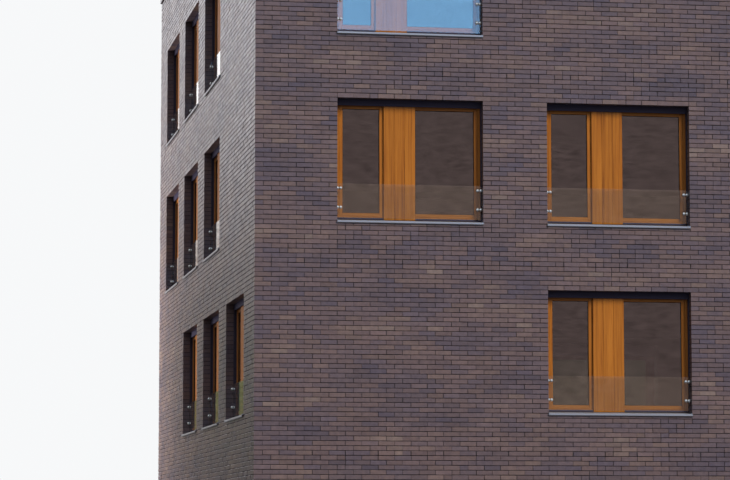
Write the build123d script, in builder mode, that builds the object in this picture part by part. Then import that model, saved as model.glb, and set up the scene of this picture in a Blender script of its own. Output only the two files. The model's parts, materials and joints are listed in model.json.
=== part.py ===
"""Four-storey brick villa with a flat roof, 15 m square, in millimetres.

The outer brick leaf stands on steel shelf angles in front of a cavity and a backing wall. Concrete
slabs bear on the backing walls. Each window is a timber frame with a narrow and a wide casement and
a closed timber panel between them, under a roller shutter box and behind a glass balustrade.
The origin is on the ground under the middle of the house, +Z is up, and the front faces -Y.
"""
import os

from build123d import *

os.makedirs("parts", exist_ok=True)

# Brick module
course = 75.0  # one brick and its bed joint
bed_joint = 10.0
half_brick = 130.0  # half a brick and its cross joint
cross_joint = 8.0

# Plan of a facade, counted in half bricks
corner_pier = 10
window_module = 18
pier_module = 8
columns = 4

# Elevation, counted in courses from each storey's base
storeys = 4
storey_courses = 40
sill_course = 8
head_course = 34
shelf_course = 39
parapet_courses = 11  # above the last storey

# Wall build-up, from the outer face inwards
brick_leaf = 120.0
cavity = 40.0
backing_wall = 360.0

# Slabs and roof
floor_level = 150.0  # top of each slab above its storey's base
slab_thickness = 300.0
roof_build_up = 200.0  # insulation and gravel on the roof slab

# Steel that carries the brick leaf
angle_thickness = 10.0  # fills the bed joint that it lies in
angle_leg = 110.0
angle_setback = 20.0  # from the brick face to the angle's edge
angle_gap = 6.0  # between the angles of two facades

# Parapet coping
coping_overhang = 35.0
coping_thickness = 30.0
coping_skirt = 50.0
coping_sheet = 4.0
coping_gap = 6.0

# Window frame and casements
frame_lap = 60.0  # how far the frame runs behind the brick leaf
frame_depth = 80.0
frame_jamb = 118.0
frame_sill = 90.0
casement_face = 56.0
casement_depth = 68.0
casement_setback = 6.0
pane_thickness = 28.0
pane_setback = 20.0

# Closed panel between the casements
panel_width = 506.0
panel_thickness = 28.0
panel_edge = 8.0  # strip of frame between the narrow casement and the panel
panel_cover = 52.0  # how far the panel covers the wide casement
panel_foot = 2.0  # gap above the sill
panel_offsets = (640.0, 770.0, 770.0, 640.0)  # from the opening's left edge, for each storey

# Roller shutter
guide_depth = 50.0
guide_width = 55.0
guide_reveal = 15.0  # how far a guide shows past the brick reveal
guide_foot = 5.0
guide_head = 4.0  # gap under the box
box_drop = 97.0  # how far the box shows below the brick head
box_apron = 26.0  # how far its cover hangs down in front of the frame
cover_gap = 0.5  # between the cover and the box
box_rise = 150.0
box_depth = 206.0
box_clearance = 4.0

# Window sill
sill_projection = 35.0
sill_rise = 38.0
sill_fall = 30.0
sill_lip = 38.0
sill_sheet = 4.0

# Glass balustrade, measured from the brick sill
balustrade_foot = 60.0
balustrade_height = 546.0
balustrade_glass = 12.0
balustrade_depth = 104.0
balustrade_gap = 16.0
clamp_levels = (165.0, 470.0)  # above the foot of the glass
clamp_length = 96.0
clamp_height = 40.0
clamp_plate = 10.0

# Entrance, in the rear facade
entrance_leaf_width = 1060.0
entrance_leaf_thickness = 68.0
entrance_jamb = 90.0
entrance_mullion = 90.0
entrance_head = 120.0
threshold_height = 20.0
handle_radius = 15.0
handle_length = 900.0
handle_standoff = 60.0
handle_foot = 700.0
handle_inset = 110.0

# Where the windows stand: one word for each storey from the ground up, one letter for each column
# from the left as seen from outside. W is a window, E the entrance and a dot is plain wall.
elevations = {
    "front": ("WW.W", ".WWW", "WWW.", "W.WW"),
    "right": ("W.WW", "WWW.", ".WWW", "WW.W"),
    "rear": ("WEWW", "WWW.", "W.WW", ".WWW"),
    "left": ("WW.W", ".WWW", "WWW.", "WWW."),
}

side = (2 * corner_pier + columns * window_module + (columns - 1) * pier_module) * half_brick - cross_joint
half_side = side / 2
slab_edge = brick_leaf + cavity
wall = slab_edge + backing_wall
storey_height = storey_courses * course
brick_top = (storeys * storey_courses + parapet_courses) * course
opening_width = window_module * half_brick + cross_joint
opening_height = (head_course - sill_course) * course + bed_joint
frame_front = brick_leaf + guide_depth
box_foot = opening_height - box_drop
frame_top = box_foot + box_apron
recess_width = opening_width + 2 * frame_lap
recess_height = opening_height + box_rise

# Each plane lies on a facade's brick face. Its x runs right and its y up, seen from outside.
facades = {
    "front": Plane(origin=(-half_side, -half_side, 0), x_dir=(1, 0, 0), z_dir=(0, -1, 0)),
    "right": Plane(origin=(half_side, -half_side, 0), x_dir=(0, 1, 0), z_dir=(1, 0, 0)),
    "rear": Plane(origin=(half_side, half_side, 0), x_dir=(-1, 0, 0), z_dir=(0, 1, 0)),
    "left": Plane(origin=(-half_side, half_side, 0), x_dir=(0, -1, 0), z_dir=(-1, 0, 0)),
}
long_facades = ("front", "rear")  # these run through at the corners and the others fit between


def sills_of(facade, letter, storey=None):
    """Lower left corners of the facade's openings of one kind, on its plane, at the brick sill."""
    return [
        (
            (corner_pier + column * (window_module + pier_module)) * half_brick - cross_joint,
            level * storey_height + sill_course * course,
        )
        for level, word in enumerate(elevations[facade])
        for column, mark in enumerate(word)
        if mark == letter and storey in (None, level)
    ]


def rectangle(left, right, bottom, top, mode=Mode.ADD):
    """A rectangle given by its edges, in the sketch that is open."""
    with Locations(((left + right) / 2, (bottom + top) / 2)):
        Rectangle(right - left, top - bottom, mode=mode)


def window_holes(facade, width, height):
    """Cuts a hole of one size over every window of the facade, centred on it and from its sill up."""
    centres = [(left + opening_width / 2, sill + height / 2) for left, sill in sills_of(facade, "W")]
    with Locations(*centres):
        Rectangle(width, height, mode=Mode.SUBTRACT)


def finish(builder, name):
    """Labels the piece and writes it as its own file."""
    builder.part.label = name
    export_step(builder.part, f"parts/{name}.step")


def make_brick_leaf(facade):
    """The outer leaf: one band of brickwork for each storey, from one shelf angle to the next."""
    inset = 0 if facade in long_facades else brick_leaf
    shelves = [storey * storey_height + shelf_course * course for storey in range(storeys - 1)]
    bottoms = [0.0] + [shelf + bed_joint for shelf in shelves]
    tops = shelves + [brick_top]
    with BuildPart() as leaf:
        with BuildSketch(facades[facade]):
            for bottom, top in zip(bottoms, tops):
                rectangle(inset, side - inset, bottom, top)
            window_holes(facade, opening_width, opening_height)
            for left, sill in sills_of(facade, "E"):
                rectangle(left, left + opening_width, floor_level, sill + opening_height, Mode.SUBTRACT)
        extrude(amount=-brick_leaf)
    finish(leaf, f"{facade}_brick_leaf")


def make_backing_wall(facade):
    """The backing wall between the slabs, and the parapet's back above the roof slab."""
    inset = slab_edge if facade in long_facades else wall
    with BuildPart() as backing:
        with BuildSketch(facades[facade].offset(-slab_edge)):
            for storey in range(storeys):
                floor = storey * storey_height + floor_level
                rectangle(inset, side - inset, floor, floor + storey_height - slab_thickness)
            rectangle(inset, side - inset, storeys * storey_height + floor_level, brick_top)
            window_holes(facade, recess_width, recess_height)
            for left, sill in sills_of(facade, "E"):
                hole, head = left - frame_lap, sill + opening_height + frame_lap
                rectangle(hole, hole + recess_width, floor_level, head, Mode.SUBTRACT)
        extrude(amount=-backing_wall)
    finish(backing, f"{facade}_backing_wall")


def make_slab(name, bottom, top):
    """A concrete slab that runs to the outer face of the backing walls."""
    with BuildPart() as slab:
        with BuildSketch(Plane.XY.offset(bottom)):
            Rectangle(side - 2 * slab_edge, side - 2 * slab_edge)
        extrude(amount=top - bottom)
    finish(slab, name)


def make_brick_supports():
    """Steel angles, bolted to the slab edges, that carry each storey's band of brickwork."""
    with BuildPart() as steel:
        for facade in facades:
            short = slab_edge + angle_gap
            flange_end, leg_end = (angle_setback, slab_edge) if facade in long_facades else (short, short)
            with BuildSketch(facades[facade].offset(-angle_setback)):
                for storey in range(storeys - 1):
                    shelf = storey * storey_height + shelf_course * course
                    rectangle(flange_end, side - flange_end, shelf, shelf + angle_thickness)
            extrude(amount=angle_setback - slab_edge)
            with BuildSketch(facades[facade].offset(-slab_edge)):
                for storey in range(storeys - 1):
                    shelf = storey * storey_height + shelf_course * course
                    rectangle(leg_end, side - leg_end, shelf, shelf + angle_leg)
            extrude(amount=angle_thickness)
    finish(steel, "brick_support_angles")


def make_roof_covering():
    """Insulation and gravel between the parapets."""
    with BuildPart() as covering:
        with BuildSketch(Plane.XY.offset(storeys * storey_height + floor_level)):
            Rectangle(side - 2 * wall, side - 2 * wall)
        extrude(amount=roof_build_up)
    finish(covering, "roof_covering")


def make_parapet_coping():
    """Folded sheet over the parapet, in four lengths that are mitred with an open joint."""
    outer = side + 2 * coping_overhang
    inner = side - 2 * wall - 2 * coping_overhang
    with BuildPart() as coping:
        with BuildSketch(Plane.XY.offset(brick_top)):
            Rectangle(outer, outer)
            Rectangle(inner, inner, mode=Mode.SUBTRACT)
        extrude(amount=coping_thickness)
        with BuildSketch(Plane.XY.offset(brick_top)):
            Rectangle(outer, outer)
            Rectangle(outer - 2 * coping_sheet, outer - 2 * coping_sheet, mode=Mode.SUBTRACT)
            Rectangle(inner + 2 * coping_sheet, inner + 2 * coping_sheet)
            Rectangle(inner, inner, mode=Mode.SUBTRACT)
        extrude(amount=-coping_skirt)
        with BuildSketch(Plane.XY.offset(brick_top - coping_skirt)):
            with Locations(Location((0, 0), 45), Location((0, 0), -45)):
                Rectangle(2 * outer, coping_gap)
        extrude(amount=coping_skirt + coping_thickness, mode=Mode.SUBTRACT)
    finish(coping, "parapet_coping")


# The pieces of one window stand on the XY plane, with the brick sill's left end at the origin, x to
# the right, y up and z outwards from the brick face.


def lights(panel_left):
    """The two holes that the frame leaves for its casements, as (left, right)."""
    return (
        (frame_jamb - frame_lap, panel_left - panel_edge),
        (panel_left + panel_width - panel_cover, opening_width + frame_lap - frame_jamb),
    )


def rings(panel_left, inset, mode=Mode.ADD):
    """Rectangles inside the two holes, smaller by the inset all round."""
    for left, right in lights(panel_left):
        rectangle(left + inset, right - inset, frame_sill + inset, box_foot - inset, mode)


def window_frame(panel_left):
    """The fixed timber frame, with a closed core behind its panel."""
    with BuildPart() as frame:
        with BuildSketch(Plane.XY.offset(-frame_front)):
            rectangle(-frame_lap, opening_width + frame_lap, 0, frame_top)
            rings(panel_left, 0, Mode.SUBTRACT)
        extrude(amount=-frame_depth)
    return frame.part


def window_casements(panel_left):
    """The opening casements, which fill the holes of the frame."""
    with BuildPart() as casements:
        with BuildSketch(Plane.XY.offset(-frame_front - casement_setback)):
            rings(panel_left, 0)
            rings(panel_left, casement_face, Mode.SUBTRACT)
        extrude(amount=-casement_depth)
    return casements.part


def window_panes(panel_left):
    """The sealed glass units in the casements."""
    with BuildPart() as panes:
        with BuildSketch(Plane.XY.offset(-frame_front - casement_setback - pane_setback)):
            rings(panel_left, casement_face)
        extrude(amount=-pane_thickness)
    return panes.part


def window_panel(panel_left):
    """The closed timber panel, which stands proud of the frame."""
    with BuildPart() as panel:
        with BuildSketch(Plane.XY.offset(-frame_front)):
            rectangle(panel_left, panel_left + panel_width, sill_rise + panel_foot, box_foot - panel_foot)
        extrude(amount=panel_thickness)
    return panel.part


def roller_shutter(panel_left):
    """A shutter box behind the brick head, a cover that hangs before the frame, and a guide each side."""
    cover_front = -brick_leaf - box_clearance
    with BuildPart() as shutter:
        with BuildSketch(Plane.YZ.offset(-frame_lap)):
            rectangle(box_foot, recess_height, -frame_front, cover_front)
            rectangle(frame_top, recess_height, cover_front - box_depth, -frame_front - cover_gap)
        extrude(amount=recess_width)
        with BuildSketch(Plane.XY.offset(-brick_leaf)):
            foot, head = sill_rise + guide_foot, box_foot - guide_head
            rectangle(guide_reveal - guide_width, guide_reveal, foot, head)
            right = opening_width - guide_reveal
            rectangle(right, right + guide_width, foot, head)
        extrude(amount=-guide_depth)
    return shutter.part


def window_sill(panel_left):
    """A folded aluminium sill, bedded on the brickwork up to the frame, with a lip in front."""
    nose = sill_rise - sill_fall
    inner_edge = sill_projection - sill_sheet
    with BuildPart() as sill:
        with BuildSketch(Plane.YZ):
            with BuildLine():
                Polyline(
                    (0, -frame_front),
                    (sill_rise, -frame_front),
                    (nose, sill_projection),
                    (nose - sill_lip, sill_projection),
                    (nose - sill_lip, inner_edge),
                    (nose - sill_sheet, inner_edge),
                    (nose - sill_sheet, 0),
                    (0, 0),
                    close=True,
                )
            make_face()
        extrude(amount=opening_width)
    return sill.part


def glass_balustrade(panel_left):
    """One toughened sheet across the lower part of the window, just before the shutter guides."""
    with BuildPart() as sheet:
        with BuildSketch(Plane.XY.offset(-balustrade_depth)):
            top = balustrade_foot + balustrade_height
            rectangle(balustrade_gap, opening_width - balustrade_gap, balustrade_foot, top)
        extrude(amount=-balustrade_glass)
    return sheet.part


def balustrade_clamps(panel_left):
    """Four steel clamps on the shutter guides, which wrap the side edges of the glass."""
    with BuildPart() as clamps:
        with BuildSketch(Plane.XY.offset(-brick_leaf)):
            for level in clamp_levels:
                low = balustrade_foot + level - clamp_height / 2
                rectangle(0, clamp_length, low, low + clamp_height)
                rectangle(opening_width - clamp_length, opening_width, low, low + clamp_height)
        extrude(amount=brick_leaf - balustrade_depth + clamp_plate)
        with BuildSketch(Plane.XY.offset(-brick_leaf)):
            rectangle(balustrade_gap, opening_width - balustrade_gap, balustrade_foot, opening_height)
        extrude(amount=brick_leaf - balustrade_depth, mode=Mode.SUBTRACT)
    return clamps.part


def window_location(facade, left, sill):
    """Where a window's own frame lies: its origin is the left end of the brick sill."""
    face = facades[facade]
    return Plane(face.from_local_coords((left, sill, 0)), face.x_dir, face.z_dir).location


def place(piece, name, names=tuple(facades)):
    """Makes the piece for every window of the named facades and writes them as one node."""
    placed = [(storey, piece(panel_offsets[storey])) for storey in range(storeys)]
    with BuildPart() as group:
        for storey, unit in placed:
            spots = [
                window_location(facade, left, sill)
                for facade in names
                for left, sill in sills_of(facade, "W", storey)
            ]
            with Locations(*spots):
                add(unit)
    finish(group, name)


def make_entrance(facade):
    """The entrance: a timber frame, a solid door leaf, a glazed side light and a threshold."""
    ((left, sill),) = sills_of(facade, "E")
    frame_left, frame_right = left - frame_lap, left - frame_lap + recess_width
    head = sill + opening_height + frame_lap
    light_head = head - entrance_head
    leaf_left = frame_left + entrance_jamb
    leaf_right = leaf_left + entrance_leaf_width
    light_left, light_right = leaf_right + entrance_mullion, frame_right - entrance_jamb
    light_foot = floor_level + entrance_jamb
    with BuildPart() as frame:
        with BuildSketch(facades[facade].offset(-frame_front)):
            rectangle(frame_left, frame_right, floor_level, head)
            rectangle(leaf_left, leaf_right, floor_level, light_head, Mode.SUBTRACT)
            rectangle(light_left, light_right, light_foot, light_head, Mode.SUBTRACT)
        extrude(amount=-frame_depth)
    finish(frame, "entrance_frame")

    face = facades[facade].offset(-frame_front - casement_setback)
    with BuildPart() as leaf:
        with BuildSketch(face):
            rectangle(leaf_left, leaf_right, floor_level, light_head)
        extrude(amount=-entrance_leaf_thickness)
    finish(leaf, "entrance_door")

    bar = leaf_right - handle_inset
    foot = floor_level + handle_foot
    with BuildPart() as handle:
        with BuildSketch(Plane(face.from_local_coords((bar, foot, handle_standoff)), z_dir=(0, 0, 1))):
            Circle(handle_radius)
        extrude(amount=handle_length)
        with BuildSketch(face):
            with Locations((bar, foot + handle_inset), (bar, foot + handle_length - handle_inset)):
                Circle(handle_radius * 2 / 3)
        extrude(amount=handle_standoff)
    finish(handle, "entrance_handle")

    with BuildPart() as pane:
        with BuildSketch(face.offset(-pane_setback)):
            rectangle(light_left, light_right, light_foot, light_head)
        extrude(amount=-pane_thickness)
    finish(pane, "entrance_side_light")

    with BuildPart() as threshold:
        with BuildSketch(facades[facade]):
            rectangle(left, left + opening_width, floor_level, floor_level + threshold_height)
        extrude(amount=-frame_front)
    finish(threshold, "entrance_threshold")


make_slab("ground_slab", 0.0, floor_level)
floor_names = ("first_floor_slab", "second_floor_slab", "third_floor_slab", "roof_slab")
for floor, floor_name in enumerate(floor_names, start=1):
    slab_top = floor * storey_height + floor_level
    make_slab(floor_name, slab_top - slab_thickness, slab_top)

for facade_name in facades:
    make_brick_leaf(facade_name)
    make_backing_wall(facade_name)
    place(window_frame, f"{facade_name}_window_frames", (facade_name,))
    place(roller_shutter, f"{facade_name}_roller_shutters", (facade_name,))

place(window_casements, "window_casements")
place(window_panes, "window_panes")
place(window_panel, "window_panels")
place(window_sill, "window_sills")
place(glass_balustrade, "glass_balustrades")
place(balustrade_clamps, "balustrade_clamps")
make_brick_supports()
make_roof_covering()
make_parapet_coping()
make_entrance("rear")
print("side", side, "brick top", brick_top, "height", brick_top + coping_thickness)
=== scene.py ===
# %% [markdown]
# # The looks of a brick villa
# The CAD model gives this four-storey villa its walls, slabs, window frames, shutters, sills and
# glass at their real size. This lesson gives them their finish, and makes what is too fine for a
# CAD model: each brick of the outer leaf, each member of the timber windows, the seals, the clamps
# of the glass and the lengths of the parapet's coping.

# %% Load the CAD model, which nothing below moves
import json
import math

import bpy
import numpy as np
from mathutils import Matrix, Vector


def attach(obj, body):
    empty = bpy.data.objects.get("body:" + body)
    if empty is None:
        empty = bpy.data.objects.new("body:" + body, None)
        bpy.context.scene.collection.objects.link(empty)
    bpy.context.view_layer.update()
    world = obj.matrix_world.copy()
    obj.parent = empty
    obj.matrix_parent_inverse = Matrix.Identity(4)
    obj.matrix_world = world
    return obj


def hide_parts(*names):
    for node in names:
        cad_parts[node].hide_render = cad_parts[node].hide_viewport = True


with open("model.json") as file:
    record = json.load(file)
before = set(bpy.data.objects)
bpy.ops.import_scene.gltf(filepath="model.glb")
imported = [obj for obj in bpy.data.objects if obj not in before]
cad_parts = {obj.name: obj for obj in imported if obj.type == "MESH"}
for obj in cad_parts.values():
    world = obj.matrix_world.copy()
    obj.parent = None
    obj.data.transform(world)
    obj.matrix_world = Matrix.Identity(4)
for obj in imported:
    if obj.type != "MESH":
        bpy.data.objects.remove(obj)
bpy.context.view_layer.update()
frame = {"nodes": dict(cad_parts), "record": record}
rng = np.random.default_rng(11)

# %% [markdown]
# ## Measures
# A course is 75 mm high, and half a brick with its cross joint is 130 mm long. Every opening starts
# and ends on a joint. Typed in metres it could fall anywhere, so it is counted in bricks here, as a
# bricklayer does. The values are those of the CAD model, in metres.

# %% The brick module, and the facades counted in bricks
COURSE, BED_JOINT = 0.075, 0.010
HALF_BRICK, CROSS_JOINT = 0.130, 0.008
CORNER, WINDOW, PIER = 10, 18, 8  # widths in half bricks
STOREY, PARAPET = 40, 11  # heights in courses
SILL_COURSE, HEAD_COURSE, SHELF_COURSE, DOOR_COURSE = 8, 34, 39, 2
STOREYS, COLUMNS = 4, 4
COURSES = STOREYS * STOREY + PARAPET
WIDTH = 2 * CORNER + COLUMNS * WINDOW + (COLUMNS - 1) * PIER
SIDE = WIDTH * HALF_BRICK - CROSS_JOINT
HALF = SIDE / 2
LEAF, WALL = 0.120, 0.520  # thickness of the brick leaf and of the whole wall

# One word for each storey from the ground up: W is a window, E the entrance, a dot plain wall.
ELEVATIONS = {
    "front": ("WW.W", ".WWW", "WWW.", "W.WW"),
    "right": ("W.WW", "WWW.", ".WWW", "WW.W"),
    "rear": ("WEWW", "WWW.", "W.WW", ".WWW"),
    "left": ("WW.W", ".WWW", "WWW.", "WWW."),
}
# Each facade's left end as seen from outside, its direction to the right, and its outward normal.
FACADES = {
    "front": ((-HALF, -HALF), (1, 0), (0, -1)),
    "right": ((HALF, -HALF), (0, 1), (1, 0)),
    "rear": ((HALF, HALF), (-1, 0), (0, 1)),
    "left": ((-HALF, HALF), (0, -1), (-1, 0)),
}
print("courses", COURSES, "side", round(SIDE, 3))

# %% Sizes of a window: depths behind the brick face, heights above the brick sill
OPENING_WIDTH = WINDOW * HALF_BRICK + CROSS_JOINT
OPENING_HEIGHT = (HEAD_COURSE - SILL_COURSE) * COURSE + BED_JOINT
FRAME_FRONT, FRAME_DEPTH, FRAME_LAP = 0.170, 0.080, 0.060
FRAME_JAMB, FRAME_SILL = 0.118, 0.090
CASEMENT_FACE, CASEMENT_DEPTH, CASEMENT_SETBACK = 0.056, 0.068, 0.006
PANE_SETBACK = 0.020
PANEL_WIDTH, PANEL_THICKNESS, PANEL_EDGE, PANEL_COVER, PANEL_FOOT = 0.506, 0.028, 0.008, 0.052, 0.002
PANEL_OFFSETS = (0.640, 0.770, 0.770, 0.640)  # from the opening's left edge, for each storey
BOX_DROP, BOX_APRON = 0.097, 0.026
GUIDE_REVEAL, GUIDE_DEPTH = 0.015, 0.050
SILL_RISE, SILL_FALL, SILL_OUT = 0.038, 0.030, 0.035
GLASS_FOOT, GLASS_DEPTH = 0.060, 0.104
CLAMP_LEVELS, CLAMP_LENGTH = (0.165, 0.470), 0.096


def openings(kind):
    """Every opening of one kind, as (facade, storey, left edge, top of the brick sill)."""
    found = []
    for facade, rows in ELEVATIONS.items():
        for storey, word in enumerate(rows):
            for column, mark in enumerate(word):
                if mark == kind:
                    left = (CORNER + column * (WINDOW + PIER)) * HALF_BRICK - CROSS_JOINT
                    found.append((facade, storey, left, (storey * STOREY + SILL_COURSE) * COURSE))
    return found


windows = openings("W")
print("windows", len(windows))

# %% [markdown]
# ## From facade to world
# Bricks, boards and sheets lie square to their wall, so each is written as six numbers on its
# facade: where it starts and ends along the wall, how far out, and how high. Turned parent objects
# could do the same, but then no piece would lie at the origin. One formula turns whole arrays of
# points at once, because a loop over thousands of bricks is slow.


# %% Facade coordinates
def on_facade(facade, along, out, level):
    """World points: the facade's left end + along * its direction + out * its normal, at a level."""
    (ox, oy), (rx, ry), (nx, ny) = FACADES[facade]
    x, y = ox + along * rx + out * nx, oy + along * ry + out * ny
    return np.stack([x, y, level + 0 * along], axis=-1)


def drawn_in(ends, by):
    """Moves the two ends of a stretch towards each other, or apart where by is negative."""
    return ends[0] + by, ends[1] - by


def in_scene(name, data):
    """Adds an object with this mesh, lamp or lens, at the origin."""
    added = bpy.data.objects.new(name, data)
    bpy.context.scene.collection.objects.link(added)
    return added


def make_piece(name, points, faces, finish, attributes=None, smooth=False):
    """Makes one mesh from its points and a list of face arrays, each of one size."""
    mesh = bpy.data.meshes.new(name)
    sizes = np.concatenate([np.full(len(group), group.shape[1]) for group in faces])
    corners = np.concatenate([group.ravel() for group in faces])
    mesh.vertices.add(len(points))
    mesh.vertices.foreach_set("co", np.ascontiguousarray(points, np.float32).ravel())
    mesh.loops.add(len(corners))
    mesh.loops.foreach_set("vertex_index", corners.astype(np.int32))
    mesh.polygons.add(len(sizes))
    mesh.polygons.foreach_set("loop_start", (np.cumsum(sizes) - sizes).astype(np.int32))
    mesh.polygons.foreach_set("loop_total", sizes.astype(np.int32))
    mesh.polygons.foreach_set("use_smooth", np.full(len(sizes), smooth))
    for key, values in (attributes or {}).items():
        layer = mesh.attributes.new(key, "FLOAT_VECTOR", "POINT")
        layer.data.foreach_set("vector", np.ascontiguousarray(values, np.float32).ravel())
    mesh.materials.append(FINISHES[finish])
    mesh.update(calc_edges=True)
    mesh.validate()
    piece = in_scene(name, mesh)
    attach(piece, "root")
    return piece


# %% [markdown]
# ## Two simple solids
# A brick and a folded sheet are prisms: one outline with a length. A planed board is a block whose
# edges are eased, so that they catch the light. Modifiers could make them one by one. Multiplying
# the pattern of one solid onto the array of all its copies is quicker and leaves nothing to apply.


# %% Prisms
def prism_faces(size, count):
    """Faces of prisms with size corners at each end: a ring of quads round each, and its two ends."""
    ring, following = np.arange(size), np.roll(np.arange(size), -1)
    step = 2 * size * np.arange(count)[:, None, None]
    sides = np.stack([ring, ring + size, following + size, following], axis=1) + step
    ends = np.stack([ring, ring[::-1] + size]) + step
    return [sides.reshape(-1, 4), ends.reshape(-1, size)]


def lay_prisms(name, facade, spans, section, worn, finish, clay=None):
    """One mesh of prisms: each is its section, carried from its left to its right end.

    spans holds rows of (along0, along1, out0, out1, z0, z1). Corner = low + section * (high - low)
    + worn, out and up. clay holds one row for each prism, if it has a shade of its own.
    """
    low, high = spans[:, None, 2::2], spans[:, None, 3::2]
    out, level = np.tile(np.moveaxis(low + section * (high - low) + worn, 2, 0), 2)
    along = np.repeat(spans[:, :2], len(section), axis=1)
    points = on_facade(facade, along, out, level).reshape(-1, 3)
    attributes = None if clay is None else {"clay": np.repeat(clay, 2 * len(section), axis=0)}
    return make_piece(name, points, prism_faces(len(section), len(spans)), finish, attributes)


# %% The pattern of a block with eased edges
def eased_pattern():
    """The 24 points and 26 faces of a block with cut edges, wound outwards.

    A corner s = (+-1, +-1, +-1) has one point on each of its three faces k. That point is at
    s * half the size, moved in by the cut along the two axes other than k. With x, y and z as 0 for
    -1 and 1 for +1, its number is 12 x + 6 y + 3 z + k.
    """
    corners = np.array([[x, y, z] for x in (-1, 1) for y in (-1, 1) for z in (-1, 1)], float)
    outer = np.repeat(corners, 3, axis=0)
    inset = -outer * (1 - np.tile(np.eye(3), (8, 1)))
    weights, quads = (12, 6, 3), []
    for k, i, j in ((0, 1, 2), (1, 0, 2), (2, 0, 1)):
        across, first, second = weights[k], weights[i], weights[j]
        for side in (0, across):  # the two faces that look along axis k
            quads.append([side + k, side + first + k, side + first + second + k, side + second + k])
        for low in (0, second, first, first + second):  # the four cut edges along axis k
            quads.append([low + i, low + across + i, low + across + j, low + j])
    solid = outer + 0.1 * inset  # a trial block, to see which way each face looks

    def outwards(face):
        """Turns a face round if its normal points to the middle of the block."""
        a, b, c = solid[face[0]], solid[face[1]], solid[face[2]]
        return face if np.dot(np.cross(b - a, c - a), solid[face].mean(axis=0)) > 0 else face[::-1]

    tris = np.arange(24).reshape(8, 3)
    return outer, inset, np.array([outwards(f) for f in quads]), np.array([outwards(f) for f in tris])


EASED_OUTER, EASED_INSET, EASED_QUADS, EASED_TRIS = eased_pattern()
GRAIN_ORDER = np.array([[0, 1, 2], [1, 0, 2], [2, 0, 1]])  # the axis along the grain comes first
GRAIN_SHIFT = 40.0  # how far apart, in metres, two boards may be taken from the same noise
WIDEST_CUT = 0.45  # the widest cut edge, as a share of half the thinnest side


# %% Blocks with eased edges
class Pile:
    """Blocks of one kind from every window, gathered to be made as one mesh."""

    def __init__(self):
        self.low, self.high, self.axes = [], [], []

    def put(self, facade, along, out, level, upright=True):
        """Adds one block. upright says whether its grain runs up or along the facade."""
        ends = [on_facade(facade, along[end], out[end], level[end]) for end in (0, 1)]
        self.low.append(np.minimum(*ends))
        self.high.append(np.maximum(*ends))
        self.axes.append(2 if upright else abs(FACADES[facade][1][1]))

    def make(self, name, finish, ease, grain=False):
        """Makes the mesh: point = centre + corner * half the size + inset * ease.

        The attribute "grain" holds (distance along the grain, the two distances across it), moved
        by a random step for each block, so that no two boards look alike.
        """
        low, high = np.array(self.low), np.array(self.high)
        half, centre = (high - low) / 2, (high + low) / 2
        cut = np.minimum(ease, half.min(axis=1) * WIDEST_CUT)[:, None, None]
        points = centre[:, None] + EASED_OUTER * half[:, None] + EASED_INSET * cut
        attributes = None
        if grain:
            order = np.repeat(GRAIN_ORDER[self.axes][:, None], len(EASED_OUTER), axis=1)
            shift = rng.uniform(-GRAIN_SHIFT, GRAIN_SHIFT, (len(low), 1, 3))
            attributes = {"grain": (np.take_along_axis(points, order, axis=2) + shift).reshape(-1, 3)}
        step = len(EASED_OUTER) * np.arange(len(low))[:, None, None]
        faces = [(EASED_QUADS + step).reshape(-1, 4), (EASED_TRIS + step).reshape(-1, 3)]
        print(name, len(low))
        return make_piece(name, points.reshape(-1, 3), faces, finish, attributes)


# %% [markdown]
# ## Wiring for the finishes
# No real finish is one flat colour, so each is built from soft noise for clouds, fine noise for
# grit, and a bump for relief. Pictures could give them too, but noise has no seam and stays sharp
# close up. It reads object coordinates, which are metres here. Boards read their own "grain" and
# bricks their own "clay", because there the pattern belongs to the single board or brick.


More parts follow.
